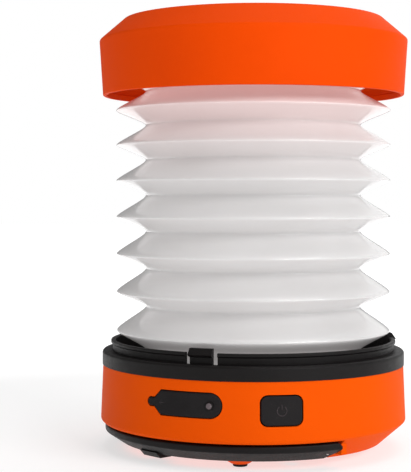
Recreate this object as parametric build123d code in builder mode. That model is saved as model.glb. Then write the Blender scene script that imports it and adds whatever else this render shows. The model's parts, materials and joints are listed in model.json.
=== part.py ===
from build123d import *
import os
from math import atan2, cos, radians, sin, sqrt

# Collapsible camping lantern. The origin is on the floor under the middle, +Z is up and the front is -Y.
# Azimuths are in degrees from the front (-Y), growing towards +X. All lengths are in millimetres.

os.makedirs("parts", exist_ok=True)

# cap
cap_top = 125.6
cap_top_radius = 37.9
cap_edge_z = 119.3
cap_edge_radius = 45.2
cap_rim_z = 103.3
cap_rim_radius = 44.2
cap_lip_radius = 43.2
cap_groove_radius = 43.6
cap_ceiling = 123.6
cap_recess_radius = 31.0
cap_recess_depth = 0.5

# base
floor_bottom = 2.4
floor_top = 4.0
chamfer_bottom_radius = 38.0
base_edge_z = 8.6
base_edge_radius = 45.0
base_top_z = 24.7
base_top_radius = 44.3
base_inner_radius = 42.3
base_inner_edge_z = 8.9
floor_inner_radius = 36.8

# deck: the black band, rim wall and floor that close the base
band_radius = 44.5
shoulder_z = 28.8
rim_outer_radius = 42.0
rim_recess_radius = 41.5
rim_inner_radius = 40.6
rim_top = 31.8
deck_top = 26.4
deck_bottom = 24.9
skirt_outer_radius = 42.1
skirt_inner_radius = 40.7
skirt_bottom = 22.0
lead_hole_radius = 9.0
column_radius = 3.0
column_ring = 31.0
column_azimuths = (20, 155, -110)

# snap clips
clip_azimuths = (-19.5, 100.5, 220.5)
clip_half_angle = 4.6
slot_half_angle = 6.4
clip_top = 33.0
barb_radius = 43.05

# bellows
ridge_radius = 39.85
valley_radius = 31.7
first_ridge_z = 99.0
ridge_pitch = 10.16
pitch_growth = 0.24
ridge_count = 7
short_face = 4.3
hidden_ridge_z = 110.5
hidden_neck_z = 116.8
bellows_wall = 2.0
flange_inner_radius = 27.0
flange_thickness = 1.2
liner_thickness = 1.0
clamp_outer_radius = 30.3
clamp_inner_radius = 26.4
top_clamp_thickness = 1.6
bottom_clamp_thickness = 2.4
flange_screw_ring = 28.6
top_screw_count = 4
top_screw_start = 45
bottom_screw_count = 6
bottom_screw_start = 20

# power button
button_azimuth = 10
button_z = 17.0
button_width = 11.2
button_height = 7.9
button_corner = 1.9
button_gap = 0.3
button_proud = 0.15
button_flange_margin = 1.0
button_travel = 0.8

# charging port and its cover
cover_azimuth = -25
cover_z = 18.1
cover_half_height = 3.3
cover_tip_half_height = 1.1
cover_right_azimuth = -15.0
cover_taper_azimuth = -33.9
cover_tip_azimuth = -39.7
cover_stud_azimuth = -14.9
cover_stud_radius = 1.15
stud_stem_radius = 0.8
stud_stem_length = 3.6
cover_hinge_azimuth = -18
cover_thickness = 1.4
cover_proud = 0.15
cover_gap = 0.25
socket_azimuth = -27
socket_width = 7.8
socket_depth = 5.4
socket_height = 2.9

# bail
bail_middle_azimuth = -45.5
bail_half_angle = 82
bail_inner_radius = 38.3
bail_outer_radius = 43.7
bail_bottom = 2.5
bail_top = 7.3
bail_chamfer_width = 4.5
bail_chamfer_height = 3.0
bail_rounding = 0.5
bail_pivot_radius = 41.0
bail_pivot_angle = 75.0
bail_pivot_z = 4.85
bail_end_reach = 2.55
bail_top_corner = 1.1
bail_bottom_corner = 2.2
rebate_top = 7.95
rebate_inner_radius = 37.8
pin_radius = 1.0
running_gap = 0.05

# battery and boards
cell_radius = 9.1
cell_length = 65.0
cell_offset = 15.5
cell_z = 13.4
strap_width = 10.0
strap_thickness = 0.7
board_bottom = 15.0
board_thickness = 1.6
board_radius = 39.7
led_board_radius = 22.0
led_screw_ring = 19.6
led_ring = 9.0
led_count = 6
led_size = 3.5
led_height = 1.0
post_radius = 2.2
post_spots = ((-14, 21.0), (-50, 34.5), (-90, 23.0))

# feet
foot_ring = 32.5
foot_azimuths = (-6, 114, 234)
foot_cone_bottom = 0.85
foot_cone_radius = 5.1
foot_cone_tip = 2.6
foot_tip_radius = 2.05
foot_stem_radius = 1.2
foot_stem_length = 2.2

# screws
small_screw_radius = 1.0
small_head_radius = 1.7
small_head_height = 1.0
housing_screw_radius = 1.25
housing_screw_length = 9.0
board_screw_radius = 0.9
cap_boss_radius = 2.6

fit_gap = 0.05
clearance = 0.3


def outward(azimuth, radius, height=0.0):
    """The point at this azimuth, radius and height."""
    return (radius * sin(radians(azimuth)), -radius * cos(radians(azimuth)), height)


def facing_plane(azimuth, radius, height):
    """A plane that faces outwards: x runs to the right as seen from outside, y runs up."""
    return Plane(
        origin=outward(azimuth, radius, height),
        x_dir=(cos(radians(azimuth)), sin(radians(azimuth)), 0),
        z_dir=outward(azimuth, 1.0),
    )


def section_plane(azimuth):
    """An upright plane through the axis: x runs outwards at this azimuth, y runs up."""
    return Plane(
        origin=(0, 0, 0),
        x_dir=outward(azimuth, 1.0),
        z_dir=(-cos(radians(azimuth)), -sin(radians(azimuth)), 0),
    )


def wall_radius(height):
    """Outer radius of the base's wall at this height."""
    share = (height - base_edge_z) / (base_top_z - base_edge_z)
    return base_edge_radius + share * (base_top_radius - base_edge_radius)


def pan_screw(shank_radius, shank_length, head_radius, head_height):
    """A pan-head cross-recess screw: its seat at the origin, its shank up and its head down."""
    slot_depth = 0.55 * head_height
    with BuildPart() as screw:
        with BuildSketch(Plane.XY):
            Circle(head_radius)
        extrude(amount=-head_height)
        fillet(screw.faces().sort_by(Axis.Z)[0].edges(), 0.45 * head_height)
        with BuildSketch(Plane.XY):
            Circle(shank_radius)
        extrude(amount=shank_length)
        chamfer(screw.faces().sort_by(Axis.Z)[-1].edges(), 0.4 * shank_radius)
        with BuildSketch(Plane.XY.offset(-head_height)):
            Rectangle(1.3 * head_radius, 0.28 * head_radius)
            Rectangle(0.28 * head_radius, 1.3 * head_radius)
        extrude(amount=slot_depth, mode=Mode.SUBTRACT)
    return screw.part


def wall_shell(inset, proud, low, high):
    """A band that follows the base's wall, from this far inside it to this far outside it."""
    with BuildPart() as band:
        with BuildSketch(Plane.XZ):
            with BuildLine():
                Polyline(
                    (wall_radius(low) - inset, low),
                    (wall_radius(low) + proud, low),
                    (wall_radius(high) + proud, high),
                    (wall_radius(high) - inset, high),
                    close=True,
                )
            make_face()
        revolve(axis=Axis.Z)
    return band.part


def edge_at(builder, height):
    """The widest round edge of a turned piece at this height."""
    rings = builder.edges().filter_by(GeomType.CIRCLE).filter_by_position(Axis.Z, height, height)
    return rings.sort_by(SortBy.RADIUS)[-1]


def finish(builder, label):
    """Name a finished piece and write it out."""
    builder.part.label = label
    export_step(builder.part, f"parts/{label}.step")


# ---------------------------------------------------------------- cap

flange_top_z = cap_ceiling - 2.8
flange_bottom_z = flange_top_z - flange_thickness
liner_top_z = flange_top_z + liner_thickness
top_clamp_bottom_z = flange_bottom_z - top_clamp_thickness
cap_screw_tip_z = 123.9
groove_start_z = cap_rim_z + 1.6
groove_end_z = cap_rim_z + 3.6

with BuildPart() as cap_shell:
    with BuildSketch(Plane.XZ):
        with BuildLine():
            Polyline(
                (0, cap_top - cap_recess_depth),
                (cap_recess_radius, cap_top - cap_recess_depth),
                (cap_recess_radius + cap_recess_depth, cap_top),
                (cap_top_radius, cap_top),
                (cap_edge_radius, cap_edge_z),
                (cap_rim_radius, cap_rim_z),
                (cap_lip_radius, cap_rim_z),
                (cap_lip_radius, groove_start_z),
                (cap_groove_radius, groove_start_z + 0.4),
                (cap_groove_radius, groove_end_z),
                (cap_lip_radius, groove_end_z + 0.6),
                (cap_edge_radius - 2.0, cap_edge_z - 1.0),
                (cap_top_radius - 0.7, cap_ceiling),
                (0, cap_ceiling),
                close=True,
            )
        make_face()
    revolve(axis=Axis.Z)
    fillet(edge_at(cap_shell, cap_top), 0.9)
    fillet(edge_at(cap_shell, cap_edge_z), 0.9)
    fillet(edge_at(cap_shell, cap_rim_z), 0.3)
    with BuildSketch(Plane.XY.offset(liner_top_z)):
        with PolarLocations(flange_screw_ring, top_screw_count, start_angle=top_screw_start):
            Circle(cap_boss_radius)
    extrude(amount=cap_ceiling + 0.2 - liner_top_z)
    with BuildSketch(Plane.XY.offset(liner_top_z)):
        with PolarLocations(flange_screw_ring, top_screw_count, start_angle=top_screw_start):
            Circle(small_screw_radius + fit_gap)
    extrude(amount=cap_screw_tip_z + 0.2 - liner_top_z, mode=Mode.SUBTRACT)
finish(cap_shell, "cap_shell")

with BuildPart() as cap_liner:
    with BuildSketch(Plane.XY.offset(flange_top_z)):
        Circle(valley_radius - 0.2)
        with PolarLocations(flange_screw_ring, top_screw_count, start_angle=top_screw_start):
            Circle(small_screw_radius + fit_gap, mode=Mode.SUBTRACT)
    extrude(amount=liner_thickness)
finish(cap_liner, "cap_liner")

with BuildPart() as bellows_top_clamp:
    with BuildSketch(Plane.XY.offset(top_clamp_bottom_z)):
        Circle(clamp_outer_radius)
        Circle(clamp_inner_radius, mode=Mode.SUBTRACT)
        with PolarLocations(flange_screw_ring, top_screw_count, start_angle=top_screw_start):
            Circle(small_screw_radius + fit_gap, mode=Mode.SUBTRACT)
    extrude(amount=top_clamp_thickness)
    lower_face = bellows_top_clamp.faces().filter_by(Axis.Z).sort_by(Axis.Z)[0]
    chamfer(lower_face.edges().sort_by(SortBy.RADIUS)[-1], 0.4)
finish(bellows_top_clamp, "bellows_top_clamp")

cap_screw_length = cap_screw_tip_z - top_clamp_bottom_z
cap_screw = pan_screw(small_screw_radius, cap_screw_length, small_head_radius, small_head_height)
with BuildPart(Plane.XY.offset(top_clamp_bottom_z)) as cap_screws:
    with PolarLocations(flange_screw_ring, top_screw_count, start_angle=top_screw_start):
        add(cap_screw)
finish(cap_screws, "cap_screws")

# ---------------------------------------------------------------- bellows

bottom_flange_z = deck_top
bottom_neck_z = 28.6

outline = [(flange_inner_radius, flange_top_z), (valley_radius, flange_top_z), (valley_radius, hidden_neck_z)]
outline.append((ridge_radius, hidden_ridge_z))
outline.append((valley_radius, hidden_ridge_z - short_face))
for number in range(ridge_count):
    ridge_z = first_ridge_z - ridge_pitch * number - pitch_growth * number * (number - 1) / 2
    outline.append((ridge_radius, ridge_z))
    if number < ridge_count - 1:
        outline.append((valley_radius, ridge_z - short_face))
outline.append((valley_radius, bottom_neck_z))
outline.append((valley_radius, bottom_flange_z))

inside = [(flange_inner_radius, bottom_flange_z), (flange_inner_radius, bottom_flange_z + flange_thickness)]
inside.append((valley_radius - 1.0, bottom_flange_z + flange_thickness))
inside.append((valley_radius - 1.0, bottom_neck_z + 0.6))
for radius, height in reversed(outline[3:-2]):
    inside.append((radius - bellows_wall, height))
inside.append((valley_radius - 1.0, hidden_neck_z + 0.6))
inside.append((valley_radius - 1.0, flange_bottom_z))
inside.append((flange_inner_radius, flange_bottom_z))

with BuildPart() as bellows:
    with BuildSketch(Plane.XZ) as bellows_section:
        with BuildLine():
            Polyline(*outline, *inside, close=True)
        make_face()
        fillet(bellows_section.vertices().group_by(Axis.X)[-1], 0.9)
    revolve(axis=Axis.Z)
    for height, count, start in (
        (bottom_flange_z, bottom_screw_count, bottom_screw_start),
        (flange_bottom_z, top_screw_count, top_screw_start),
    ):
        with BuildSketch(Plane.XY.offset(height)):
            with PolarLocations(flange_screw_ring, count, start_angle=start):
                Circle(small_screw_radius + fit_gap)
        extrude(amount=flange_thickness, mode=Mode.SUBTRACT)
finish(bellows, "bellows")

with BuildPart() as bellows_bottom_clamp:
    with BuildSketch(Plane.XY.offset(bottom_flange_z + flange_thickness)):
        Circle(clamp_outer_radius)
        Circle(clamp_inner_radius, mode=Mode.SUBTRACT)
        with PolarLocations(flange_screw_ring, bottom_screw_count, start_angle=bottom_screw_start):
            Circle(small_screw_radius + fit_gap, mode=Mode.SUBTRACT)
    extrude(amount=bottom_clamp_thickness)
finish(bellows_bottom_clamp, "bellows_bottom_clamp")

# ---------------------------------------------------------------- deck

seal_radius = 0.55
seal_z = 22.9
seal_seat_radius = base_inner_radius - 2 * seal_radius
bead_bottom = rim_top - 0.8
slot_floor_z = shoulder_z - 0.2

with BuildPart() as deck_ring:
    with BuildSketch(Plane.XZ):
        with BuildLine():
            Polyline(
                (lead_hole_radius, deck_bottom),
                (skirt_inner_radius, deck_bottom),
                (skirt_inner_radius, skirt_bottom),
                (skirt_outer_radius, skirt_bottom),
                (skirt_outer_radius, seal_z - seal_radius),
                (seal_seat_radius, seal_z - seal_radius),
                (seal_seat_radius, seal_z + seal_radius),
                (skirt_outer_radius, seal_z + seal_radius),
                (skirt_outer_radius, base_top_z),
                (band_radius, base_top_z),
                (band_radius, shoulder_z),
                (rim_recess_radius, shoulder_z),
                (rim_recess_radius, bead_bottom - 0.4),
                (rim_outer_radius, bead_bottom),
                (rim_outer_radius, rim_top),
                (rim_inner_radius, rim_top),
                (rim_inner_radius, deck_top),
                (lead_hole_radius, deck_top),
                close=True,
            )
        make_face()
    revolve(axis=Axis.Z)
    fillet(edge_at(deck_ring, shoulder_z), 0.8)
    rim_edges = deck_ring.edges().filter_by(GeomType.CIRCLE).filter_by_position(Axis.Z, rim_top, rim_top)
    fillet(rim_edges, 0.3)
    # slots on both sides of each clip
    for azimuth in clip_azimuths:
        with BuildSketch(section_plane(azimuth - slot_half_angle)):
            with BuildLine():
                Polyline(
                    (rim_inner_radius - 0.5, slot_floor_z),
                    (rim_outer_radius + 0.5, slot_floor_z),
                    (rim_outer_radius + 0.5, clip_top),
                    (rim_inner_radius - 0.5, clip_top),
                    close=True,
                )
            make_face()
        revolve(axis=Axis.Z, revolution_arc=2 * slot_half_angle, mode=Mode.SUBTRACT)
    # the clips, each with a lead-in slope above its barb
    for azimuth in clip_azimuths:
        with BuildSketch(section_plane(azimuth - clip_half_angle)):
            with BuildLine():
                Polyline(
                    (rim_inner_radius, slot_floor_z),
                    (rim_recess_radius + 0.1, slot_floor_z),
                    (rim_recess_radius + 0.1, clip_top - 2.5),
                    (barb_radius - 0.4, clip_top - 2.1),
                    (barb_radius, clip_top - 1.7),
                    (rim_recess_radius + 0.3, clip_top),
                    (rim_inner_radius, clip_top),
                    close=True,
                )
            make_face()
        revolve(axis=Axis.Z, revolution_arc=2 * clip_half_angle)
    # columns down to the base's floor, for the housing screws
    with BuildSketch(Plane.XY.offset(floor_top)):
        for azimuth in column_azimuths:
            with Locations(outward(azimuth, column_ring)):
                Circle(column_radius)
    extrude(amount=deck_bottom + 0.2 - floor_top)
    with BuildSketch(Plane.XY.offset(floor_top)):
        for azimuth in column_azimuths:
            with Locations(outward(azimuth, column_ring)):
                Circle(housing_screw_radius + fit_gap)
    extrude(amount=housing_screw_length, mode=Mode.SUBTRACT)
    # holes for the bellows clamp screws and the LED board screws
    with BuildSketch(Plane.XY.offset(deck_bottom)):
        with PolarLocations(flange_screw_ring, bottom_screw_count, start_angle=bottom_screw_start):
            Circle(small_screw_radius + fit_gap)
        with PolarLocations(led_screw_ring, 3, start_angle=90):
            Circle(small_screw_radius + fit_gap)
    extrude(amount=deck_top - deck_bottom, mode=Mode.SUBTRACT)
finish(deck_ring, "deck_ring")

with BuildPart() as deck_seal:
    with BuildSketch(Plane.XZ):
        with Locations((base_inner_radius - seal_radius, seal_z)):
            Circle(seal_radius)
    revolve(axis=Axis.Z)
finish(deck_seal, "deck_seal")

clamp_screw_length = deck_top - deck_bottom + flange_thickness + bottom_clamp_thickness - 0.3
clamp_screw = pan_screw(small_screw_radius, clamp_screw_length, small_head_radius, small_head_height)
with BuildPart(Plane.XY.offset(deck_bottom)) as clamp_screws:
    with PolarLocations(flange_screw_ring, bottom_screw_count, start_angle=bottom_screw_start):
        add(clamp_screw)
finish(clamp_screws, "clamp_screws")

# ---------------------------------------------------------------- LED board and lens

led_board_top = deck_top + board_thickness
lead_spots = ((-1.5, 0), (1.5, 0))

with BuildPart() as led_board:
    with BuildSketch(Plane.XY.offset(deck_top)):
        Circle(led_board_radius)
        with PolarLocations(led_screw_ring, 3, start_angle=90):
            Circle(small_screw_radius + fit_gap, mode=Mode.SUBTRACT)
        with Locations(*lead_spots):
            Circle(0.6 + fit_gap, mode=Mode.SUBTRACT)
    extrude(amount=board_thickness)
finish(led_board, "led_board")

with BuildPart() as leds:
    with BuildSketch(Plane.XY.offset(led_board_top)):
        with PolarLocations(led_ring, led_count):
            Rectangle(led_size, led_size)
    extrude(amount=led_height)
    with BuildSketch(Plane.XY.offset(led_board_top + led_height)):
        with PolarLocations(led_ring, led_count):
            Circle(1.3)
    extrude(amount=0.5)
finish(leds, "leds")

lens_rise = 7.0
lens_radius = 16.0
lens_wall = 1.2


def dome_middle(radius, rise):
    """A point half way along the arc from the top of a round dome of this radius and rise to its rim."""
    ball = (radius**2 + rise**2) / (2 * rise)
    turn = atan2(radius, ball - rise) / 2
    return (ball * sin(turn), rise - ball * (1 - cos(turn)))


outer_middle = dome_middle(lens_radius, lens_rise)
inner_middle = dome_middle(lens_radius - lens_wall, lens_rise - lens_wall)
with BuildPart() as led_lens:
    with BuildSketch(Plane.XZ):
        with BuildLine():
            Line((0, led_board_top + lens_rise), (0, led_board_top + lens_rise - lens_wall))
            ThreePointArc(
                (0, led_board_top + lens_rise - lens_wall),
                (inner_middle[0], led_board_top + inner_middle[1]),
                (lens_radius - lens_wall, led_board_top),
            )
            Line((lens_radius - lens_wall, led_board_top), (lens_radius, led_board_top))
            ThreePointArc(
                (lens_radius, led_board_top),
                (outer_middle[0], led_board_top + outer_middle[1]),
                (0, led_board_top + lens_rise),
            )
        make_face()
    revolve(axis=Axis.Z)
    with BuildSketch(Plane.XY.offset(led_board_top)):
        Circle(led_board_radius - 0.2)
        Circle(lens_radius - lens_wall / 2, mode=Mode.SUBTRACT)
    extrude(amount=lens_wall)
    with BuildSketch(Plane.XY.offset(led_board_top)):
        with PolarLocations(led_screw_ring, 3, start_angle=90):
            Circle(small_screw_radius + fit_gap)
    extrude(amount=lens_wall, mode=Mode.SUBTRACT)
finish(led_lens, "led_lens")

led_screw_length = board_thickness + lens_wall + 1.3
led_screw = pan_screw(small_screw_radius, led_screw_length, small_head_radius, small_head_height)
with BuildPart(Plane.XY.offset(led_board_top + lens_wall)) as led_board_screws:
    with PolarLocations(led_screw_ring, 3, start_angle=90):
        with Locations(Rotation(180, 0, 0)):
            add(led_screw)
finish(led_board_screws, "led_board_screws")

# ---------------------------------------------------------------- base housing

pivot_offset = bail_pivot_radius * cos(radians(bail_pivot_angle))
bail_end_offset = pivot_offset - bail_end_reach
pivot_pocket_face = 35.6
pivot_pocket_end = pivot_offset + 3.6
pin_start = pivot_pocket_face - 3.2
bail_front = Plane(
    origin=(0, 0, 0),
    x_dir=outward(bail_middle_azimuth, 1.0),
    z_dir=outward(bail_middle_azimuth - 90, 1.0),
)


def bail_profile(*corners):
    """A slab with these corners as seen along the pins, as wide as the base."""
    with BuildPart() as slab:
        with BuildSketch(bail_front):
            with BuildLine():
                Polyline(*corners, close=True)
            make_face()
        extrude(amount=50, both=True)
    return slab.part


def bail_ring(section, rounding):
    """The half ring that this section sweeps about the lantern's axis."""
    with BuildPart() as ring:
        with BuildSketch(section_plane(bail_middle_azimuth - bail_half_angle)) as outline:
            with BuildLine():
                Polyline(*section, close=True)
            make_face()
            if rounding:
                fillet(outline.vertices(), rounding)
        revolve(axis=Axis.Z, revolution_arc=2 * bail_half_angle)
    return ring.part


rebate_section = (
    (rebate_inner_radius, 0),
    (base_edge_radius + 2, 0),
    (base_edge_radius + 2, rebate_top),
    (rebate_inner_radius, rebate_top),
)
backing_section = (
    (rebate_inner_radius - 1.8, floor_top - 0.2),
    (base_inner_radius + 0.6, floor_top - 0.2),
    (base_inner_radius + 0.6, rebate_top + 1.8),
    (rebate_inner_radius - 1.8, rebate_top + 1.8),
)
bail_section = (
    (bail_inner_radius, bail_bottom),
    (bail_outer_radius - bail_chamfer_width, bail_bottom),
    (bail_outer_radius, bail_bottom + bail_chamfer_height),
    (bail_outer_radius, bail_top),
    (bail_inner_radius, bail_top),
)
rebate_end = bail_end_offset - clearance
backing_end = bail_end_offset - 2.2
bail_far = base_edge_radius + 15
rebate = bail_ring(rebate_section, 0) & bail_profile(
    (rebate_end, -1),
    (bail_far, -1),
    (bail_far, rebate_top + 1),
    (rebate_end, rebate_top + 1),
)
backing = bail_ring(backing_section, 0) & bail_profile(
    (backing_end, 0),
    (bail_far, 0),
    (bail_far, rebate_top + 2),
    (backing_end, rebate_top + 2),
)


def cover_outline(gap, depth):
    """The port cover's outline pushed through the wall: a bar with a round right end and a fingertip."""
    radius = wall_radius(cover_z)
    right = radius * sin(radians(cover_right_azimuth - cover_azimuth))
    taper = radius * sin(radians(cover_taper_azimuth - cover_azimuth))
    tip = radius * sin(radians(cover_tip_azimuth - cover_azimuth)) - gap
    half = cover_half_height + gap
    tip_half = cover_tip_half_height + gap
    neck = taper - (half - tip_half)
    with BuildPart() as prism:
        with BuildSketch(facing_plane(cover_azimuth, radius - depth, cover_z)):
            with BuildLine():
                Polyline(
                    (tip + tip_half, -tip_half),
                    (neck, -tip_half),
                    (taper, -half),
                    (right, -half),
                )
                ThreePointArc((right, -half), (right + half, 0), (right, half))
                Polyline(
                    (right, half),
                    (taper, half),
                    (neck, tip_half),
                    (tip + tip_half, tip_half),
                )
                ThreePointArc((tip + tip_half, tip_half), (tip, 0), (tip + tip_half, -tip_half))
            make_face()
        extrude(amount=depth + 4)
    return prism.part


cover_low = cover_z - 5
cover_high = cover_z + 5
port_pocket = cover_outline(cover_gap, 6) & wall_shell(cover_thickness + 0.1, 3, cover_low, cover_high)

with BuildPart() as base_housing:
    with BuildSketch(Plane.XZ):
        with BuildLine():
            Polyline(
                (0, floor_bottom),
                (chamfer_bottom_radius, floor_bottom),
                (base_edge_radius, base_edge_z),
                (base_top_radius, base_top_z),
                (base_inner_radius, base_top_z),
                (base_inner_radius, base_inner_edge_z),
                (floor_inner_radius, floor_top),
                (0, floor_top),
                close=True,
            )
        make_face()
    revolve(axis=Axis.Z)
    fillet(edge_at(base_housing, base_edge_z), 0.9)
    add(backing)
    add(rebate, mode=Mode.SUBTRACT)
    # cones under the feet
    with Locations((0, 0, (floor_bottom + foot_cone_bottom) / 2)):
        for azimuth in foot_azimuths:
            with Locations(outward(azimuth, foot_ring)):
                Cone(foot_cone_tip, foot_cone_radius, floor_bottom - foot_cone_bottom)
    with BuildSketch(Plane.XY.offset(foot_cone_bottom)):
        for azimuth in foot_azimuths:
            with Locations(outward(azimuth, foot_ring)):
                Circle(foot_stem_radius + fit_gap)
    extrude(amount=foot_stem_length, mode=Mode.SUBTRACT)
    # counterbored holes for the housing screws
    with BuildSketch(Plane.XY.offset(floor_bottom)):
        for azimuth in column_azimuths:
            with Locations(outward(azimuth, column_ring)):
                Circle(housing_screw_radius + fit_gap)
    extrude(amount=floor_top - floor_bottom, mode=Mode.SUBTRACT)
    # posts for the main board
    with BuildSketch(Plane.XY.offset(floor_top - 0.2)):
        for azimuth, radius in post_spots:
            with Locations(outward(azimuth, radius)):
                Circle(post_radius)
    extrude(amount=board_bottom - floor_top + 0.2)
    with BuildSketch(Plane.XY.offset(board_bottom)):
        for azimuth, radius in post_spots:
            with Locations(outward(azimuth, radius)):
                Circle(board_screw_radius + fit_gap)
    extrude(amount=-5.2, mode=Mode.SUBTRACT)
    # window for the power button
    with BuildSketch(facing_plane(button_azimuth, base_inner_radius - 4, button_z)):
        RectangleRounded(
            button_width + 2 * button_gap,
            button_height + 2 * button_gap,
            button_corner + button_gap,
        )
    extrude(amount=10, mode=Mode.SUBTRACT)
    # pocket for the port cover, the opening to the socket and the hole for the stud
    add(port_pocket, mode=Mode.SUBTRACT)
    with BuildSketch(facing_plane(socket_azimuth, base_inner_radius - 4, cover_z)):
        RectangleRounded(socket_width + 0.8, socket_height + 0.8, 0.8)
    extrude(amount=6, mode=Mode.SUBTRACT)
    with BuildSketch(facing_plane(cover_stud_azimuth, base_inner_radius - 4, cover_z)):
        Circle(stud_stem_radius + fit_gap)
    extrude(amount=6, mode=Mode.SUBTRACT)
    # pockets that leave the bail's ends room to turn
    for side in (1, -1):
        with BuildSketch(bail_front.offset(side * pivot_pocket_face)):
            with BuildLine():
                Polyline(
                    (rebate_end, -1),
                    (pivot_pocket_end, -1),
                    (pivot_pocket_end, rebate_top),
                    (rebate_end, rebate_top),
                    close=True,
                )
            make_face()
        extrude(amount=side * 6, mode=Mode.SUBTRACT)
    # bores for the bail's pins
    for side in (1, -1):
        with BuildSketch(bail_front.offset(side * (pin_start - 0.2))):
            with Locations((pivot_offset, bail_pivot_z)):
                Circle(pin_radius + fit_gap)
        extrude(amount=side * 12, mode=Mode.SUBTRACT)
finish(base_housing, "base_housing")

with BuildPart() as rubber_feet:
    for azimuth in foot_azimuths:
        with BuildSketch(Plane.XY):
            with Locations(outward(azimuth, foot_ring)):
                Circle(foot_tip_radius)
        extrude(amount=foot_cone_bottom)
    fillet(rubber_feet.faces().group_by(Axis.Z)[0].edges(), 0.4)
    for azimuth in foot_azimuths:
        with BuildSketch(Plane.XY.offset(foot_cone_bottom - 0.1)):
            with Locations(outward(azimuth, foot_ring)):
                Circle(foot_stem_radius)
        extrude(amount=foot_stem_length)
finish(rubber_feet, "rubber_feet")

housing_screw = pan_screw(housing_screw_radius, housing_screw_length, 2.2, 1.2)
with BuildPart(Plane.XY.offset(floor_bottom)) as housing_screws:
    for azimuth in column_azimuths:
        with Locations(outward(azimuth, column_ring)):
            add(housing_screw)
finish(housing_screws, "housing_screws")

# ---------------------------------------------------------------- power button

keycap_shell = wall_shell(3.2, button_proud, button_z - 8, button_z + 8)
flange_outer_inset = wall_radius(button_z) - base_inner_radius + 0.15
button_inner_radius = base_inner_radius - 0.15 - 1.2

with BuildPart() as flange_band:
    with BuildSketch(Plane.XY.offset(button_z - 8)):
        Circle(base_inner_radius - 0.15)
        Circle(button_inner_radius, mode=Mode.SUBTRACT)
    extrude(amount=16)

with BuildPart() as button_flange:
    with BuildSketch(facing_plane(button_azimuth, base_inner_radius - 5, button_z)):
        RectangleRounded(
            button_width + 2 * button_flange_margin,
            button_height - 0.8 + 2 * button_flange_margin,
            button_corner,
        )
    extrude(amount=8)
    add(flange_band.part, mode=Mode.INTERSECT)

with BuildPart() as power_button:
    with BuildSketch(facing_plane(button_azimuth, base_inner_radius - 5, button_z)):
        RectangleRounded(button_width, button_height, button_corner)
    extrude(amount=10)
    add(keycap_shell, mode=Mode.INTERSECT)
    front_face = power_button.faces().sort_by_distance(outward(button_azimuth, 60, button_z))[0]
    fillet(front_face.edges(), 0.35)
    add(button_flange.part)
finish(power_button, "power_button")

switch_z = 18.2
plunger_radius = 0.75
plunger_inner = 38.0
with BuildPart() as switch_plunger:
    with BuildSketch(facing_plane(button_azimuth, plunger_inner, switch_z)):
        Circle(plunger_radius)
    extrude(amount=button_inner_radius - 0.02 - plunger_inner)
finish(switch_plunger, "switch_plunger")

switch_front = 39.2
with BuildPart() as tact_switch:
    with BuildSketch(facing_plane(button_azimuth, switch_front, board_bottom + board_thickness + 1.6)):
        Rectangle(6.0, 3.2)
    extrude(amount=-3.6)
    chamfer(tact_switch.edges().filter_by(Axis.Z), 0.3)
    with BuildSketch(facing_plane(button_azimuth, switch_front, switch_z)):
        Circle(plunger_radius + 0.1)
    extrude(amount=-2.3, mode=Mode.SUBTRACT)
finish(tact_switch, "tact_switch")

# ---------------------------------------------------------------- charging port cover

cover_radius = wall_radius(cover_z)
hinge_x = cover_radius * sin(radians(cover_hinge_azimuth - cover_azimuth))
cover_body = cover_outline(0, 6) & wall_shell(cover_thickness, cover_proud, cover_low, cover_high)

with BuildPart() as port_cover_flap:
    add(cover_body)
    with BuildSketch(facing_plane(cover_azimuth, cover_radius - 8, cover_z)):
        with Locations((hinge_x - 0.15 + 20, 0)):
            Rectangle(40, 20)
    extrude(amount=20, mode=Mode.SUBTRACT)
    with BuildSketch(facing_plane(socket_azimuth, cover_radius - cover_thickness - 0.9, cover_z)):
        RectangleRounded(6.0, 1.9, 0.6)
    extrude(amount=1.4)
finish(port_cover_flap, "port_cover_flap")

with BuildPart() as port_cover_tail:
    add(cover_body)
    with BuildSketch(facing_plane(cover_azimuth, cover_radius - 8, cover_z)):
        with Locations((hinge_x + 0.15 - 20, 0)):
            Rectangle(40, 20)
    extrude(amount=20, mode=Mode.SUBTRACT)
    with BuildSketch(facing_plane(cover_stud_azimuth, cover_radius - 6, cover_z)):
        Circle(stud_stem_radius + fit_gap)
    extrude(amount=12, mode=Mode.SUBTRACT)
finish(port_cover_tail, "port_cover_tail")

stud_seat = cover_radius + cover_proud + 0.05
with BuildPart() as port_cover_stud:
    with BuildSketch(facing_plane(cover_stud_azimuth, stud_seat, cover_z)):
        Circle(cover_stud_radius)
    extrude(amount=0.55)
    head_edges = port_cover_stud.edges().filter_by(GeomType.CIRCLE)
    fillet(head_edges.sort_by_distance(outward(cover_stud_azimuth, 60, cover_z))[0], 0.4)
    with BuildSketch(facing_plane(cover_stud_azimuth, stud_seat, cover_z)):
        Circle(stud_stem_radius)
    extrude(amount=-stud_stem_length)
finish(port_cover_stud, "port_cover_stud")

# ---------------------------------------------------------------- bail

pin_hole_depth = 3.4
lug_face = sqrt(bail_inner_radius**2 - pivot_offset**2)
tab_width = 7.0
tab_reach = 34.6
tab_bottom = 1.45
tab_top = 2.15
bail_slab = bail_profile(
    (bail_end_offset + bail_bottom_corner, bail_bottom),
    (bail_far, bail_bottom),
    (bail_far, bail_top),
    (bail_end_offset + bail_top_corner, bail_top),
    (bail_end_offset, bail_top - bail_top_corner),
    (bail_end_offset, bail_bottom + bail_bottom_corner),
)
bail_body = bail_slab & bail_ring(bail_section, bail_rounding)

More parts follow.
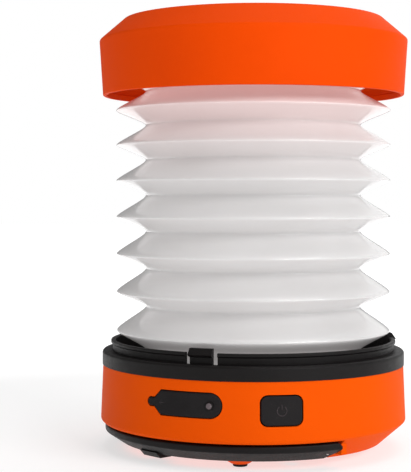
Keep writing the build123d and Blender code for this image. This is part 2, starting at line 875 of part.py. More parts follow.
with BuildPart() as tab_block:
    with BuildSketch(section_plane(bail_middle_azimuth)):
        with BuildLine():
            Polyline(
                (tab_reach, tab_top),
                (tab_reach, tab_bottom + 0.3),
                (tab_reach + 0.6, tab_bottom),
                (bail_inner_radius + 0.8, tab_bottom),
                (bail_inner_radius + 2.4, bail_bottom + 0.6),
                (bail_inner_radius + 0.4, bail_bottom + 0.6),
                (bail_inner_radius + 0.4, tab_top),
                close=True,
            )
        make_face()
    extrude(amount=tab_width / 2, both=True)

with BuildPart() as bail_handle:
    add(bail_body)
    add(tab_block.part)
    with BuildSketch(bail_front):
        with Locations((pivot_offset, bail_pivot_z)):
            Circle(pin_radius + running_gap)
    extrude(amount=lug_face + pin_hole_depth, both=True, mode=Mode.SUBTRACT)
finish(bail_handle, "bail_handle")

pin_end = lug_face + pin_hole_depth - 0.3
with BuildPart() as handle_pins:
    for side in (1, -1):
        with BuildSketch(bail_front.offset(side * pin_start)):
            with Locations((pivot_offset, bail_pivot_z)):
                Circle(pin_radius)
        extrude(amount=side * (pin_end - pin_start))
finish(handle_pins, "handle_pins")

# ---------------------------------------------------------------- battery and boards

cell_plane = Plane(
    origin=outward(bail_middle_azimuth + 180, cell_offset, cell_z),
    x_dir=outward(bail_middle_azimuth + 180, 1.0),
    z_dir=outward(bail_middle_azimuth + 90, 1.0),
)

with BuildPart() as battery_cell:
    with BuildSketch(cell_plane):
        Circle(cell_radius)
    extrude(amount=cell_length / 2, both=True)
    fillet(battery_cell.edges().filter_by(GeomType.CIRCLE), 0.6)
finish(battery_cell, "battery_cell")

strap_inner = cell_radius + 0.1
strap_outer = strap_inner + strap_thickness
strap_foot = strap_outer + 4.6
foot_y = floor_top - cell_z
with BuildPart() as battery_strap:
    with BuildSketch(cell_plane):
        Circle(strap_outer)
        with Locations((0, foot_y / 2)):
            Rectangle(2 * strap_outer, -foot_y)
        with Locations((0, foot_y + strap_thickness / 2)):
            Rectangle(2 * strap_foot, strap_thickness)
        Circle(strap_inner, mode=Mode.SUBTRACT)
        with Locations((0, foot_y / 2)):
            Rectangle(2 * strap_inner, -foot_y, mode=Mode.SUBTRACT)
        with Locations((0, foot_y - 5)):
            Rectangle(80, 10, mode=Mode.SUBTRACT)
    extrude(amount=strap_width / 2, both=True)
    with BuildSketch(Plane.XY.offset(floor_top)):
        for side in (1, -1):
            with Locations(outward(bail_middle_azimuth + 180, cell_offset + side * (strap_outer + 2.4))):
                Circle(small_screw_radius + fit_gap)
    extrude(amount=strap_thickness, mode=Mode.SUBTRACT)
finish(battery_strap, "battery_strap")

strap_screw = pan_screw(small_screw_radius, strap_thickness - 0.02, small_head_radius, small_head_height)
with BuildPart(Plane.XY.offset(floor_top + strap_thickness)) as strap_screws:
    for side in (1, -1):
        with Locations(outward(bail_middle_azimuth + 180, cell_offset + side * (strap_outer + 2.4))):
            with Locations(Rotation(180, 0, 0)):
                add(strap_screw)
finish(strap_screws, "strap_screws")

board_edge_offset = -4.5
with BuildPart() as main_board:
    with BuildSketch(Plane.XY.offset(board_bottom)):
        Circle(board_radius)
        cut_middle = outward(bail_middle_azimuth, board_edge_offset - 50)
        with Locations(Location(cut_middle, (0, 0, bail_middle_azimuth))):
            Rectangle(120, 100, mode=Mode.SUBTRACT)
        for azimuth in column_azimuths:
            with Locations(outward(azimuth, column_ring)):
                Circle(column_radius + 0.5, mode=Mode.SUBTRACT)
        with Locations(outward(button_azimuth, board_radius + 1)):
            Circle(2.2, mode=Mode.SUBTRACT)
        for azimuth, radius in post_spots:
            with Locations(outward(azimuth, radius)):
                Circle(board_screw_radius + fit_gap, mode=Mode.SUBTRACT)
    extrude(amount=board_thickness)
finish(main_board, "main_board")

board_top = board_bottom + board_thickness
board_screw = pan_screw(board_screw_radius, board_thickness + 4.5, 1.6, 0.9)
with BuildPart(Plane.XY.offset(board_top)) as board_screws:
    for azimuth, radius in post_spots:
        with Locations(outward(azimuth, radius)):
            with Locations(Rotation(180, 0, 0)):
                add(board_screw)
finish(board_screws, "board_screws")

socket_front = 41.4
socket_back = socket_front - socket_depth
with BuildPart() as usb_socket:
    with BuildSketch(facing_plane(socket_azimuth, socket_front, board_top + socket_height / 2)):
        RectangleRounded(socket_width, socket_height, 0.5)
    extrude(amount=-socket_depth)
    with BuildSketch(facing_plane(socket_azimuth, socket_front, board_top + socket_height / 2)):
        RectangleRounded(socket_width - 0.8, socket_height - 0.8, 0.3)
    extrude(amount=-(socket_depth - 0.8), mode=Mode.SUBTRACT)
    with BuildSketch(facing_plane(socket_azimuth, socket_back, board_top + socket_height / 2)):
        Rectangle(socket_width - 2.6, 0.6)
    extrude(amount=socket_depth - 1.0)
finish(usb_socket, "usb_socket")

with BuildPart() as charge_chip:
    with BuildSketch(Plane.XY.offset(board_top)):
        with Locations(outward(-45, 22)):
            Rectangle(5, 4)
    extrude(amount=1.2)
finish(charge_chip, "charge_chip")

with BuildPart() as inductor:
    with BuildSketch(Plane.XY.offset(board_top)):
        with Locations(outward(-70, 29)):
            RectangleRounded(6, 6, 1.5)
    extrude(amount=3.0)
    chamfer(inductor.faces().sort_by(Axis.Z)[-1].edges(), 0.4)
finish(inductor, "inductor")

wire_radius = 0.6
with BuildPart() as led_leads:
    with BuildSketch(Plane.XY.offset(board_top)):
        with Locations(*lead_spots):
            Circle(wire_radius)
    extrude(amount=led_board_top - board_top)
finish(led_leads, "led_leads")


def lead_path(side):
    """One battery lead's corners: from the end of the cell over to the main board."""
    along = outward(bail_middle_azimuth + 90, side)
    across = outward(bail_middle_azimuth, 1.0)
    corners = []
    for reach, offset, height in (
        (cell_length / 2, -cell_offset, cell_z),
        (cell_length / 2 + 3.0, -cell_offset, cell_z),
        (cell_length / 2 + 3.0, -4.0, 20.0),
        (24.0, -1.5, 20.0),
        (24.0, -1.5, board_top),
    ):
        corners.append((reach * along[0] + offset * across[0], reach * along[1] + offset * across[1], height))
    return corners


lead_bend = 1.3
lead_routes = [FilletPolyline(*lead_path(side), radius=lead_bend) for side in (1, -1)]
with BuildPart() as battery_leads:
    for route in lead_routes:
        with BuildSketch(Plane(origin=route @ 0, z_dir=route % 0)):
            Circle(wire_radius)
        sweep(path=route)
finish(battery_leads, "battery_leads")
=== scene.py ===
import json
from math import cos, degrees, pi, radians, sin

import bpy
import bmesh
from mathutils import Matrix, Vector


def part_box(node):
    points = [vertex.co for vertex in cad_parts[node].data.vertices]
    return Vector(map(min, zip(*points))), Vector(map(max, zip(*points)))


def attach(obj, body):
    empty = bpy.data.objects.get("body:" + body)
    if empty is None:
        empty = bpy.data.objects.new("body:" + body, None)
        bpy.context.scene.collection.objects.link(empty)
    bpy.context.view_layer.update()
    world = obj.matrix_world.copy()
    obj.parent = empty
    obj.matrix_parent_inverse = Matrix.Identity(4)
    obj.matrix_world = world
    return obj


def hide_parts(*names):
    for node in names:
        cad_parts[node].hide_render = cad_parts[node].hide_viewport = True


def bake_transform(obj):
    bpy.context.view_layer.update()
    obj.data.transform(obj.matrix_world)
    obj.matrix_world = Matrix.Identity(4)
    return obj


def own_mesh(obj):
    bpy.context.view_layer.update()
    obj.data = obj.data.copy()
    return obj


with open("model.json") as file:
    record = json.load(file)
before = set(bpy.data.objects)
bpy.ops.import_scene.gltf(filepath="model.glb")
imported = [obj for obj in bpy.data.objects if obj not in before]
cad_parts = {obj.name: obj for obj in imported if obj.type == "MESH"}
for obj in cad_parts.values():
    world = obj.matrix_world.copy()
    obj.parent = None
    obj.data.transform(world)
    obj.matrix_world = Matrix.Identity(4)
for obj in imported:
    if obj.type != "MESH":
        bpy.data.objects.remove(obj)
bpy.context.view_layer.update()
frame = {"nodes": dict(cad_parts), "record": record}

# Metres, +Z up, the front is -Y. Azimuths are in degrees from the front, growing towards +X.
MM = 0.001

cap_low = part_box("cap_shell")[0]
base_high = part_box("base_housing")[1]
bellows_low, bellows_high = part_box("bellows")


def outward(azimuth, radius, height=0.0):
    """The point at this azimuth, radius and height."""
    return Vector((radius * sin(radians(azimuth)), -radius * cos(radians(azimuth)), height))


# ---------------------------------------------------------------- camera, light and floor

eye_distance = 0.4013
eye_height = 0.07407
look_down = radians(1.716)
turn_left = radians(2.005)
focal_length = 103.2

camera_data = bpy.data.cameras.new("camera")
camera_data.lens = focal_length
camera_data.sensor_width = 36
camera_data.clip_start = 0.01
camera_data.clip_end = 20
camera = bpy.data.objects.new("camera", camera_data)
camera.location = (0, -eye_distance, eye_height)
camera.rotation_euler = (pi / 2 - look_down, 0, turn_left)
bpy.context.scene.collection.objects.link(camera)
bpy.context.scene.camera = camera


def area_light(name, place, aim, size, power):
    """A soft white light at a place, turned towards a point."""
    data = bpy.data.lights.new(name, "AREA")
    data.shape = "RECTANGLE"
    data.size, data.size_y = size
    data.energy = power
    lamp = bpy.data.objects.new(name, data)
    lamp.location = place
    lamp.rotation_euler = (Vector(aim) - Vector(place)).to_track_quat("-Z", "Y").to_euler()
    bpy.context.scene.collection.objects.link(lamp)


middle = (0, 0, 0.065)
area_light("key_light", (0.62, -0.66, 0.50), middle, (0.7, 0.32), 6.4)
area_light("fill_light", (-0.9, -0.6, 0.35), middle, (0.7, 0.7), 0.8)
area_light("top_light", (0.15, 0.05, 1.0), middle, (0.8, 0.8), 4.2)
area_light("back_light", (0.5, 0.9, 0.5), middle, (1.0, 0.7), 1.6)


# ---------------------------------------------------------------- node building

class Wire:
    """A socket that can be used in a sum: each operator adds the Math node that works it out."""

    def __init__(self, sheet, socket):
        self.sheet = sheet
        self.socket = socket

    def _sum(self, operation, first, second):
        return self.sheet.add(self.sheet.math, {"operation": operation}, {0: first, 1: second})

    def __add__(self, other):
        return self._sum("ADD", self, other)

    __radd__ = __add__

    def __sub__(self, other):
        return self._sum("SUBTRACT", self, other)

    def __rsub__(self, other):
        return self._sum("SUBTRACT", other, self)

    def __mul__(self, other):
        return self._sum("MULTIPLY", self, other)

    __rmul__ = __mul__

    def __truediv__(self, other):
        return self._sum("DIVIDE", self, other)

    def __rtruediv__(self, other):
        return self._sum("DIVIDE", other, self)

    def __gt__(self, other):
        return self._sum("GREATER_THAN", self, other)

    def root(self):
        return self._sum("SQRT", self, 0.0)

    def floor(self):
        return self._sum("FLOOR", self, 0.0)

    def sine(self):
        return self._sum("SINE", self, 0.0)

    def cosine(self):
        return self._sum("COSINE", self, 0.0)

    def least(self, other):
        return self._sum("MINIMUM", self, other)

    def most(self, other):
        return self._sum("MAXIMUM", self, other)


class Sheet:
    """A node tree that is being drawn."""

    math = "ShaderNodeMath"

    def __init__(self, tree):
        self.tree = tree

    def add(self, kind, settings=None, values=None, result=0):
        """Add a node: its settings first, then its sockets' values or links. Gives back one result."""
        node = self.tree.nodes.new(kind)
        for name, value in (settings or {}).items():
            setattr(node, name, value)
        for name, value in (values or {}).items():
            socket = node.inputs[name]
            if isinstance(value, Wire):
                self.tree.links.new(value.socket, socket)
            else:
                socket.default_value = value
        return Wire(self, node.outputs[result])


def grey(level):
    """An even grey."""
    return (level, level, level, 1)


class Finish(Sheet):
    """A material under construction, with its shader and object coordinates ready."""

    def __init__(self, name, **constants):
        self.material = bpy.data.materials.new(name)
        self.material.use_nodes = True
        super().__init__(self.material.node_tree)
        self.shader = self.tree.nodes["Principled BSDF"]
        self.place = self.add("ShaderNodeTexCoord", result="Object")
        for socket, value in constants.items():
            self.shader.inputs[socket.replace("_", " ")].default_value = value

    def feed(self, socket, wire):
        """Link a wire, or set a value, on the shader."""
        if isinstance(wire, Wire):
            self.tree.links.new(wire.socket, self.shader.inputs[socket])
        else:
            self.shader.inputs[socket].default_value = wire

    def noise(self, scale, detail=3.0, roughness=0.5, stretch=None):
        """Cloudy variation between 0 and 1; scale is in lumps per metre."""
        place = self.place
        if stretch:
            place = self.add("ShaderNodeMapping", None, {"Vector": place, "Scale": stretch})
        values = {"Vector": place, "Scale": scale, "Detail": detail, "Roughness": roughness}
        return self.add("ShaderNodeTexNoise", None, values)

    def spread(self, wire, low, high, to_low, to_high):
        """Map one range of numbers to another, clamped."""
        values = {0: wire, 1: low, 2: high, 3: to_low, 4: to_high}
        return self.add("ShaderNodeMapRange", {"clamp": True}, values)

    def blend(self, share, first, second):
        """A colour between two, by share."""
        return self.add("ShaderNodeMix", {"data_type": "RGBA"}, {0: share, 6: first, 7: second}, result=2)

    def bump(self, height, depth, below=None):
        """Raise the surface by height times depth in metres, on top of another bump."""
        values = {"Height": height, "Distance": depth, "Strength": 1.0}
        if below:
            values["Normal"] = below
        return self.add("ShaderNodeBump", None, values)


backdrop_level = 1.0
room_level = 0.26


def studio_world():
    """Even soft light from all round, and a white backdrop behind the object."""
    world = bpy.data.worlds.new("studio")
    world.use_nodes = True
    sheet = Sheet(world.node_tree)
    seen = sheet.add("ShaderNodeLightPath", result="Is Camera Ray")
    background = world.node_tree.nodes["Background"]
    background.inputs["Color"].default_value = grey(1.0)
    strength = seen * (backdrop_level - room_level) + room_level
    world.node_tree.links.new(strength.socket, background.inputs["Strength"])
    bpy.context.scene.world = world
    bpy.context.scene.view_settings.view_transform = "Standard"


studio_world()

# ---------------------------------------------------------------- finishes

def moulded_orange():
    """Matt orange plastic with a fine moulded grain, duller in faint clouds."""
    f = Finish("orange_plastic", Specular_IOR_Level=0.03)
    height = f.add("ShaderNodeSeparateXYZ", None, {0: f.place}, result="Z")
    upper = f.spread(height, base_high.z, cap_low.z, 0.0, 1.0)
    clouds = f.noise(28.0, 4.0)
    grain = f.noise(5200.0, 2.0)
    specks = f.noise(900.0, 3.0)
    tint = f.spread(clouds, 0.35, 0.65, 0.0, 1.0)
    lower_colour = f.blend(tint, (0.81, 0.082, 0.0002, 1), (0.85, 0.090, 0.0003, 1))
    upper_colour = f.blend(tint, (0.75, 0.056, 0.0002, 1), (0.79, 0.062, 0.0002, 1))
    colour = f.blend(upper, lower_colour, upper_colour)
    worn = f.spread(specks, 0.62, 0.78, 0.0, 0.12)
    f.feed("Base Color", f.blend(worn, colour, (0.86, 0.09, 0.001, 1)))
    f.feed("Roughness", f.spread(clouds * 0.6 + specks * 0.4, 0.3, 0.7, 0.46, 0.6))
    f.feed("Normal", f.bump(grain, 0.00006, f.bump(clouds, 0.0002)))
    return f.material


def moulded_black():
    """Satin black plastic with fine grain, scuffed a little paler in places."""
    f = Finish("black_plastic", Specular_IOR_Level=0.18)
    clouds = f.noise(60.0, 4.0)
    grain = f.noise(6000.0, 2.0)
    scuffs = f.noise(420.0, 5.0, 0.65, (1, 1, 3))
    dust = f.spread(scuffs, 0.6, 0.8, 0.0, 0.5)
    f.feed("Base Color", f.blend(dust, (0.0052, 0.0040, 0.0040, 1), (0.017, 0.0145, 0.014, 1)))
    f.feed("Roughness", f.spread(clouds * 0.5 + scuffs * 0.5, 0.3, 0.7, 0.36, 0.56))
    f.feed("Normal", f.bump(grain, 0.00007))
    return f.material


def black_rubber(name, shade):
    """Matt black rubber with dust in its grain."""
    f = Finish(name, Specular_IOR_Level=0.2)
    clouds = f.noise(140.0, 4.0)
    grain = f.noise(4200.0, 3.0)
    lint = f.spread(f.noise(1300.0, 2.0), 0.66, 0.8, 0.0, 0.6)
    clean = (shade, 0.8 * shade, 0.86 * shade, 1)
    dusty = (3 * shade, 2.7 * shade, 2.7 * shade, 1)
    f.feed("Base Color", f.blend(lint, clean, dusty))
    f.feed("Roughness", f.spread(clouds, 0.3, 0.7, 0.52, 0.7))
    f.feed("Normal", f.bump(grain, 0.00012))
    return f.material


def milky_silicone():
    """Milky translucent silicone: cloudy and a little glossy, with a painted glow all over and a painted pink
    tint of orange bounce light under the cap.
    """
    f = Finish(
        "milky_silicone",
        Subsurface_Weight=0.35,
        Subsurface_Scale=0.0035,
        Subsurface_Radius=(1.0, 0.9, 0.85),
        Emission_Strength=1.0,
        Coat_Roughness=0.05,
        Specular_IOR_Level=0.35,
        IOR=1.41,
    )
    height = f.add("ShaderNodeSeparateXYZ", None, {0: f.place}, result="Z")
    # painted bounce light: from here up to just inside the cap the base colour turns pink and the painted
    # glow turns warm, standing in for orange light from the cap
    painted_bounce_foot = cap_low.z - 28 * MM
    painted_bounce_top = cap_low.z + 2 * MM
    painted_bounce_share = f.spread(height, painted_bounce_foot, painted_bounce_top, 0.0, 1.0)
    clouds = f.noise(35.0, 4.0)
    flow = f.noise(24.0, 3.0, 0.5, (1, 1, 5))
    milk = f.blend(f.spread(clouds, 0.3, 0.7, 0.0, 1.0), (0.46, 0.455, 0.454, 1), (0.52, 0.515, 0.514, 1))
    f.feed("Base Color", f.blend(painted_bounce_share * painted_bounce_share * 0.7, milk, (0.60, 0.43, 0.415, 1)))
    # painted glow: an emission on the whole of the folds that stands in for light scattered through the
    # silicone
    painted_glow = f.blend(painted_bounce_share * painted_bounce_share, (0.205, 0.197, 0.196, 1), (0.26, 0.145, 0.138, 1))
    f.feed("Emission Color", painted_glow)
    f.feed("Roughness", f.spread(clouds * 0.5 + flow * 0.5, 0.35, 0.65, 0.34, 0.46))
    f.feed("Coat Weight", f.spread(clouds, 0.3, 0.7, 0.75, 1.0))
    f.feed("Normal", f.bump(flow, 0.0006, f.bump(f.noise(700.0, 3.0), 0.00002)))
    return f.material


def plated_steel():
    """Bright plated steel with fine turning marks."""
    f = Finish("plated_steel", Metallic=1.0)
    marks = f.noise(900.0, 4.0, 0.6, (1, 1, 6))
    f.feed("Base Color", f.blend(marks, (0.5, 0.5, 0.5, 1), (0.66, 0.65, 0.63, 1)))
    f.feed("Roughness", f.spread(marks, 0.3, 0.7, 0.22, 0.4))
    f.feed("Normal", f.bump(marks, 0.00002))
    return f.material


def plain_moulding(name, dark, pale, rough, scale=300.0):
    """A hidden moulding, board or wrap: two close shades in clouds and a slight grain."""
    f = Finish(name)
    clouds = f.noise(scale, 3.0)
    f.feed("Base Color", f.blend(f.spread(clouds, 0.35, 0.65, 0.0, 1.0), dark, pale))
    f.feed("Roughness", f.spread(clouds, 0.3, 0.7, rough, rough + 0.12))
    f.feed("Normal", f.bump(f.noise(3000.0, 2.0), 0.00003))
    return f.material


finishes = {
    "orange_plastic": moulded_orange(),
    "black_plastic": moulded_black(),
    "black_rubber": black_rubber("black_rubber", 0.0085),
    "milky_silicone": milky_silicone(),
    "steel": plated_steel(),
    "white_plastic": plain_moulding("white_plastic", (0.72, 0.72, 0.70, 1), (0.8, 0.8, 0.78, 1), 0.3),
    "frosted_lens": plain_moulding("frosted_lens", (0.7, 0.72, 0.73, 1), (0.78, 0.8, 0.8, 1), 0.35),
    "white_board": plain_moulding("white_board", (0.66, 0.66, 0.63, 1), (0.74, 0.74, 0.7, 1), 0.4),
    "led_yellow": plain_moulding("led_yellow", (0.75, 0.55, 0.1, 1), (0.85, 0.68, 0.2, 1), 0.3, 900.0),
    "green_board": plain_moulding("green_board", (0.01, 0.11, 0.03, 1), (0.02, 0.16, 0.05, 1), 0.35),
    "grey_ferrite": plain_moulding("grey_ferrite", (0.05, 0.05, 0.055, 1), (0.09, 0.09, 0.09, 1), 0.5, 900.0),
    "cell_wrap": plain_moulding("cell_wrap", (0.02, 0.09, 0.36, 1), (0.03, 0.13, 0.45, 1), 0.25, 120.0),
    "wire_red": plain_moulding("wire_red", (0.42, 0.01, 0.01, 1), (0.55, 0.02, 0.015, 1), 0.35, 700.0),
}

for subpart in frame["record"]["subparts"]:
    node = frame["nodes"][subpart["node"]]
    node.data.materials.clear()
    node.data.materials.append(finishes[subpart["material_slot"]])

# ---------------------------------------------------------------- bellows

class Shaper(Sheet):
    """A Geometry Nodes tree with named sizes, that ends in Realize Instances and Set Material."""

    def __init__(self, name, sizes):
        super().__init__(bpy.data.node_groups.new(name, "GeometryNodeTree"))
        self.sizes = {}
        self.values = {}
        self.tree.interface.new_socket("Geometry", in_out="OUTPUT", socket_type="NodeSocketGeometry")
        for label, value in sizes.items():
            kind = "NodeSocketInt" if isinstance(value, int) else "NodeSocketFloat"
            socket = self.tree.interface.new_socket(label, in_out="INPUT", socket_type=kind)
            self.values[socket.identifier] = value
        inputs = self.tree.nodes.new("NodeGroupInput")
        for label in sizes:
            self.sizes[label] = Wire(self, inputs.outputs[label])

    def close(self, geometry, material):
        """Make it real, give it its finish and send it to the output."""
        whole = self.add("GeometryNodeRealizeInstances", None, {"Geometry": geometry})
        painted = self.add("GeometryNodeSetMaterial", None, {"Geometry": whole, "Material": material})
        output = self.tree.nodes.new("NodeGroupOutput")
        self.tree.links.new(painted.socket, output.inputs[0])

    def mesh_object(self, name):
        """Work the tree out once and keep the result as a plain mesh with its faces outwards."""
        carrier = bpy.data.objects.new(name, bpy.data.meshes.new(name))
        bpy.context.scene.collection.objects.link(carrier)
        modifier = carrier.modifiers.new("shape", "NODES")
        modifier.node_group = self.tree
        for identifier, value in self.values.items():
            modifier[identifier] = value
        graph = bpy.context.evaluated_depsgraph_get()
        graph.update()
        mesh = bpy.data.meshes.new_from_object(carrier.evaluated_get(graph))
        carrier.modifiers.clear()
        carrier.data = mesh
        mend(mesh)
        return carrier


WELD_DISTANCE = 2e-6
SHORTEST_EDGE = 1e-7


def mend(mesh):
    """Merge doubled points, turn every face outwards and shade smoothly."""
    work = bmesh.new()
    work.from_mesh(mesh)
    bmesh.ops.remove_doubles(work, verts=work.verts, dist=WELD_DISTANCE)
    bmesh.ops.dissolve_degenerate(work, edges=work.edges, dist=SHORTEST_EDGE)
    bmesh.ops.recalc_face_normals(work, faces=work.faces)
    for face in work.faces:
        face.smooth = True
    work.to_mesh(mesh)
    work.free()


bellows_sizes = {
    "Steps around": 201,
    "Steps along": 441,
    "Ridge radius": 40.3 * MM,
    "Valley radius": 31.7 * MM,
    "Flange radius": 27.0 * MM,
    "Top height": bellows_high.z,
    "Bottom height": bellows_low.z,
    "Neck height": 4.0 * MM,
    "Lower neck height": 2.2 * MM,
    "First ridge height": 99.0 * MM,
    "Ridge pitch": 10.16 * MM,
    "Pitch growth": 0.24 * MM,
    "Short face": 4.3 * MM,
    "Ridge rounding": 0.08,
    "Valley rounding": 0.22,
    "Bulge": 0.35 * MM,
    "Fold wall": 2.0 * MM,
    "Neck wall": 1.0 * MM,
    "Flange thickness": 1.2 * MM,
}

FOLDS = 7
END_STEPS = 3
STEPS = 2 * FOLDS + 2 * END_STEPS
DENSER_ENDS = 0.85
JUST_UNDER = 0.000001


def make_bellows(material):
    """The concertina: one section folded by rule, carried round the axis on a grid."""
    g = Shaper("bellows_shape", bellows_sizes)
    size = g.sizes
    counts = {"Vertices X": size["Steps around"], "Vertices Y": size["Steps along"]}
    grid = g.add("GeometryNodeMeshGrid", None, {"Size X": 1.0, "Size Y": 1.0, **counts})
    place = g.add("GeometryNodeInputPosition")
    across = g.add("ShaderNodeSeparateXYZ", None, {0: place}, result="X")
    along = g.add("ShaderNodeSeparateXYZ", None, {0: place}, result="Y")
    turn = (across + 0.5) * (2 * pi)
    way = (along + 0.5) * 2
    inside = way > 1.0
    path = (way + inside * (2 - 2 * way)).least(1 - JUST_UNDER).most(0.0) * STEPS
    step = path.floor()
    part = path - step
    part = part - (part * (2 * pi)).sine() * (DENSER_ENDS / (2 * pi))
    path = step + part

    def ramp(start):
        """0 before this step, 1 after it."""
        return (path - start).least(1.0).most(0.0)

    # the folds: from each ridge a short face down to the valley, then a long one to the next ridge
    fold_path = (path - END_STEPS).least(2 * FOLDS - JUST_UNDER).most(0.0)
    fold = (fold_path * 0.5).floor()
    within = fold_path - fold * 2
    down_short = within.least(1.0)
    down_long = (within - 1).most(0.0)
    number = fold - 1
    ridge = size["First ridge height"] - size["Ridge pitch"] * number
    ridge = ridge - size["Pitch growth"] * number * (number - 1) * 0.5
    long_drop = size["Ridge pitch"] + size["Pitch growth"] * number - size["Short face"]
    fold_height = ridge - size["Short face"] * down_short - long_drop * down_long

    # the ends: the flange, the neck and the face next to them
    top_ridge = size["First ridge height"] + size["Ridge pitch"] - size["Pitch growth"]
    upper_neck = size["Top height"] - size["Neck height"]
    lower_neck = size["Bottom height"] + size["Lower neck height"]
    low_ridge = size["First ridge height"] - size["Ridge pitch"] * (FOLDS - 1)
    low_ridge = low_ridge - size["Pitch growth"] * ((FOLDS - 1) * (FOLDS - 2) / 2)
    height = fold_height + (size["Top height"] - upper_neck) * (1 - ramp(1))
    height = height + (upper_neck - top_ridge) * (1 - ramp(2))
    height = height - (low_ridge - lower_neck) * ramp(STEPS - 3)
    height = height - (lower_neck - size["Bottom height"]) * ramp(STEPS - 2)

    def rounded(share, soft):
        """The same share from 0 to 1, but with a round bottom instead of a corner."""
        return ((share * share + soft * soft).root() - soft) / ((soft * soft + 1).root() - soft)

    # depth of the fold: 0 on a ridge, 1 in a valley, rounded at both
    deep = down_short - down_long
    deep = deep.most(1 - ramp(2)).most(ramp(STEPS - 3))
    deep = rounded(deep, size["Ridge rounding"])
    deep = 1 - rounded(1 - deep, size["Valley rounding"])
    radius = size["Ridge radius"] - (size["Ridge radius"] - size["Valley radius"]) * deep
    in_folds = ramp(2) * (1 - ramp(STEPS - 3))
    radius = radius + size["Bulge"] * (down_long * pi).sine().most(0.0) * in_folds
    reach = size["Valley radius"] - size["Flange radius"]
    radius = radius - reach * (1 - ramp(0)) - reach * ramp(STEPS - 1)

    # the inner side of the same wall
    wall = size["Neck wall"] + (size["Fold wall"] - size["Neck wall"]) * in_folds
    thin = (radius - wall).most(size["Flange radius"])
    radius = radius + (thin - radius) * inside
    lowest = size["Bottom height"] + size["Flange thickness"]
    highest = size["Top height"] - size["Flange thickness"]
    shut = height.most(lowest).least(highest)
    height = height + (shut - height) * inside

    values = {"X": radius * turn.sine(), "Y": radius * turn.cosine() * -1, "Z": height}
    spot = g.add("ShaderNodeCombineXYZ", None, values)
    moved = g.add("GeometryNodeSetPosition", None, {"Geometry": grid, "Position": spot})
    g.close(moved, material)
    return g.mesh_object("bellows_folds")


bellows_folds = make_bellows(finishes["milky_silicone"])
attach(bellows_folds, "base")
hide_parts("bellows")
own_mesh(bellows_folds)

# ---------------------------------------------------------------- charging port cover

wall_low = (45.0 * MM, 8.6 * MM)
wall_high = (44.3 * MM, 24.7 * MM)


def wall_radius(height):
    """Outer radius of the base's wall at this height."""
    share = (height - wall_low[1]) / (wall_high[1] - wall_low[1])
    return wall_low[0] + share * (wall_high[0] - wall_low[0])


def plain_object(name, mesh, material):
    """An object for a finished mesh, with its finish."""
    mesh.materials.append(material)
    item = bpy.data.objects.new(name, mesh)
    bpy.context.scene.collection.objects.link(item)
    return item


cover_height = 18.1 * MM
cover_half = 3.3 * MM
cover_tip_half = 1.1 * MM
cover_middle = -25.0
cover_right = -15.0
cover_taper = -33.9
cover_tip = -39.7
cover_proud = 0.15 * MM
cover_depth = 1.4 * MM
cover_edge = 0.32 * MM
cover_hinge = -18.0


def cover_shape(along):
    """Half the cover's height at a share of its length, and how far along it that is."""
    radius = wall_radius(cover_height)
    start = radius * sin(radians(cover_tip - cover_middle))
    neck_end = radius * sin(radians(cover_taper - cover_middle))
    bar_end = radius * sin(radians(cover_right - cover_middle))
    finish_x = bar_end + cover_half
    x = start + (finish_x - start) * (1 - cos(pi * along)) / 2
    neck = neck_end - (cover_half - cover_tip_half)
    half = cover_half
    if x < start + cover_tip_half:
        off = start + cover_tip_half - x
        half = max(cover_tip_half ** 2 - off ** 2, 0) ** 0.5
    elif x < neck:
        half = cover_tip_half
    elif x < neck_end:
        half = cover_tip_half + x - neck
    elif x > bar_end:
        half = max(cover_half ** 2 - (x - bar_end) ** 2, 0) ** 0.5
    return x, half, min(x - start, finish_x - x)


def make_cover(material):
    """The cover, one moulding that follows the wall from its stud to its fingertip."""
    columns, rows = 220, 24
    mesh = bpy.data.meshes.new("port_cover")
    work = bmesh.new()
    rings = []
    out_way = outward(cover_middle, 1.0)
    side_way = Vector((-out_way.y, out_way.x, 0))
    for column in range(columns + 1):
        x, half, end_gap = cover_shape(column / columns)
        ring = []
        for row in range(2 * rows):
            back = row >= rows
            spread = (row if not back else 2 * rows - 1 - row) / (rows - 1)
            level = -cos(pi * spread)
            height = cover_height + half * level
            radius = wall_radius(height)
            rim = min(half * (1 - abs(level)), end_gap, cover_edge)
            rounding = cover_edge - (cover_edge ** 2 - (cover_edge - rim) ** 2) ** 0.5
            radius += -cover_depth if back else cover_proud - rounding
            deep = (radius ** 2 - x ** 2) ** 0.5
            ring.append(work.verts.new(out_way * deep + side_way * x + Vector((0, 0, height))))
        rings.append(ring)
    for left, right in zip(rings, rings[1:]):
        for row in range(2 * rows):
            after = (row + 1) % (2 * rows)
            work.faces.new((left[row], right[row], right[after], left[after]))
    work.faces.new(rings[0])
    work.faces.new(rings[-1])
    work.to_mesh(mesh)
    work.free()
    mend(mesh)
    return plain_object("port_cover", mesh, material)


port_cover = make_cover(finishes["black_rubber"])
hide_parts("port_cover_flap", "port_cover_tail")
hinge_radius = wall_radius(cover_height)
half_bend = 0.9
blend_start = outward(cover_hinge + half_bend, hinge_radius, cover_height)
blend_end = outward(cover_hinge - half_bend, hinge_radius, cover_height)
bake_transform(port_cover)

LINE_SIDES = 10
LINE_TAPER = 0.35


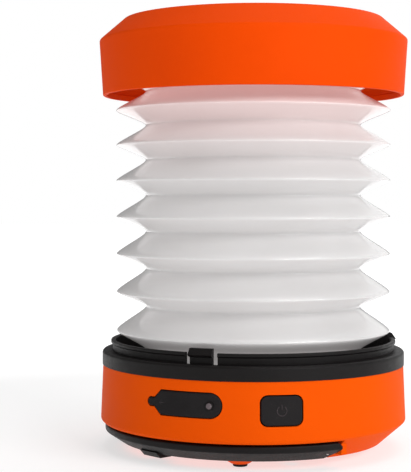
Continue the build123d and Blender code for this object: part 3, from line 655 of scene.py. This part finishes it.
def raised_line(name, azimuth, height, points, width, lift, material):
    """A thin raised line on the wall through points given to the right of and above a middle."""
    mesh = bpy.data.meshes.new(name)
    work = bmesh.new()
    count = len(points)
    rings = []
    for number, point in enumerate(points):
        before = Vector(points[max(number - 1, 0)])
        after = Vector(points[min(number + 1, count - 1)])
        along = (after - before).normalized()
        across = Vector((-along.y, along.x))
        taper = LINE_TAPER if number in (0, count - 1) else 1.0
        ring = []
        for turn in range(LINE_SIDES):
            angle = 2 * pi * turn / LINE_SIDES
            side = Vector(point) + across * (cos(angle) * width / 2 * taper)
            radius = wall_radius(height + side.y) + cover_proud + sin(angle) * lift * taper
            spot = outward(azimuth + degrees(side.x / radius), radius, height + side.y)
            ring.append(work.verts.new(spot))
        rings.append(ring)
    for left, right in zip(rings, rings[1:]):
        for turn in range(LINE_SIDES):
            after = (turn + 1) % LINE_SIDES
            work.faces.new((left[turn], right[turn], right[after], left[after]))
    work.faces.new(rings[0])
    work.faces.new(rings[-1])
    work.to_mesh(mesh)
    work.free()
    mend(mesh)
    return plain_object(name, mesh, material)


def arc_points(radius, start, end, count):
    """Points on an arc, in degrees from straight up, growing to the right."""
    turns = [radians(start + (end - start) * step / count) for step in range(count + 1)]
    return [(radius * sin(turn), radius * cos(turn)) for turn in turns]


# painted sheen: the raised marks get a paler rubber standing in for light catching them
mark_sheen_finish = black_rubber("worn_rubber", 0.045)
mark_width = 0.28 * MM
mark_lift = 0.14 * MM
button_azimuth = 10
button_middle = 17.0 * MM
ring_radius = 1.3 * MM
ring_gap = 32
ring_steps = 40
ring_points = arc_points(ring_radius, ring_gap, 360 - ring_gap, ring_steps)
bar_points = [(0, 0.3 * MM), (0, 1.0 * MM), (0, 1.75 * MM)]
for name, points in (("button_ring_mark", ring_points), ("button_bar_mark", bar_points)):
    mark = raised_line(name, button_azimuth, button_middle, points, mark_width, mark_lift, mark_sheen_finish)
    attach(mark, "power_button")

stud_height = 0.6 * MM
stud_azimuth = -14.9
stud_radius = 0.8 * MM
stud_lift = 0.14 * MM


def stud_dome(name, azimuth, height, radius, lift, material):
    """A low round dome on the stud's head."""
    mesh = bpy.data.meshes.new(name)
    work = bmesh.new()
    bmesh.ops.create_uvsphere(work, u_segments=32, v_segments=16, radius=1.0)
    centre = outward(azimuth, wall_radius(height) + cover_proud + stud_height, height)
    face = outward(azimuth, 1.0)
    side = Vector((-face.y, face.x, 0))
    for vert in work.verts:
        x, y, z = vert.co
        vert.co = centre + side * (x * radius) + Vector((0, 0, y * radius)) + face * (z * lift)
    work.to_mesh(mesh)
    work.free()
    mend(mesh)
    return plain_object(name, mesh, material)


# painted highlight: the stud's dome is a paler grey rubber standing in for the glint on its head
stud_highlight_finish = black_rubber("stud_grey", 0.13)
stud_face = stud_dome("stud_face", stud_azimuth, cover_height, stud_radius, stud_lift, stud_highlight_finish)
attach(stud_face, "base")

arrow_azimuth = -33.3
arrow_width = 0.22 * MM
arrow_lift = 0.1 * MM
shaft_points = [(-0.8 * MM, 0), (0, 0), (0.9 * MM, 0)]
head_points = [(-0.2 * MM, 0.6 * MM), (-0.8 * MM, 0), (-0.2 * MM, -0.6 * MM)]
for name, points in (("cover_arrow_line", shaft_points), ("cover_arrow_head", head_points)):
    mark = raised_line(name, arrow_azimuth, cover_height, points, arrow_width, arrow_lift, mark_sheen_finish)
    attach(mark, "port_flap")

# ---------------------------------------------------------------- floor

bpy.ops.mesh.primitive_plane_add(size=6)
floor = bpy.context.object
floor.name = "studio_floor"
floor_finish = Finish("studio_floor", Roughness=0.9, Specular_IOR_Level=0.1, Emission_Strength=1.0)
floor_clouds = floor_finish.noise(3.0, 3.0)
floor_finish.feed("Base Color", floor_finish.blend(floor_clouds, grey(0.41), grey(0.43)))
floor_place = {0: floor_finish.place}
from_middle = floor_finish.add("ShaderNodeVectorMath", {"operation": "LENGTH"}, floor_place, "Value")
# painted shade and light: the floor's glow is lower near the object, so it reads darker round it, and rises
# to full white far off
near_edge = 0.16
far_edge = 0.3
near_glow = 0.64
far_glow = 1.0
painted_floor_glow = floor_finish.spread(from_middle, near_edge, far_edge, near_glow, far_glow)
floor_finish.feed("Emission Color", floor_finish.blend(painted_floor_glow, grey(0.0), grey(1.0)))
floor.data.materials.append(floor_finish.material)
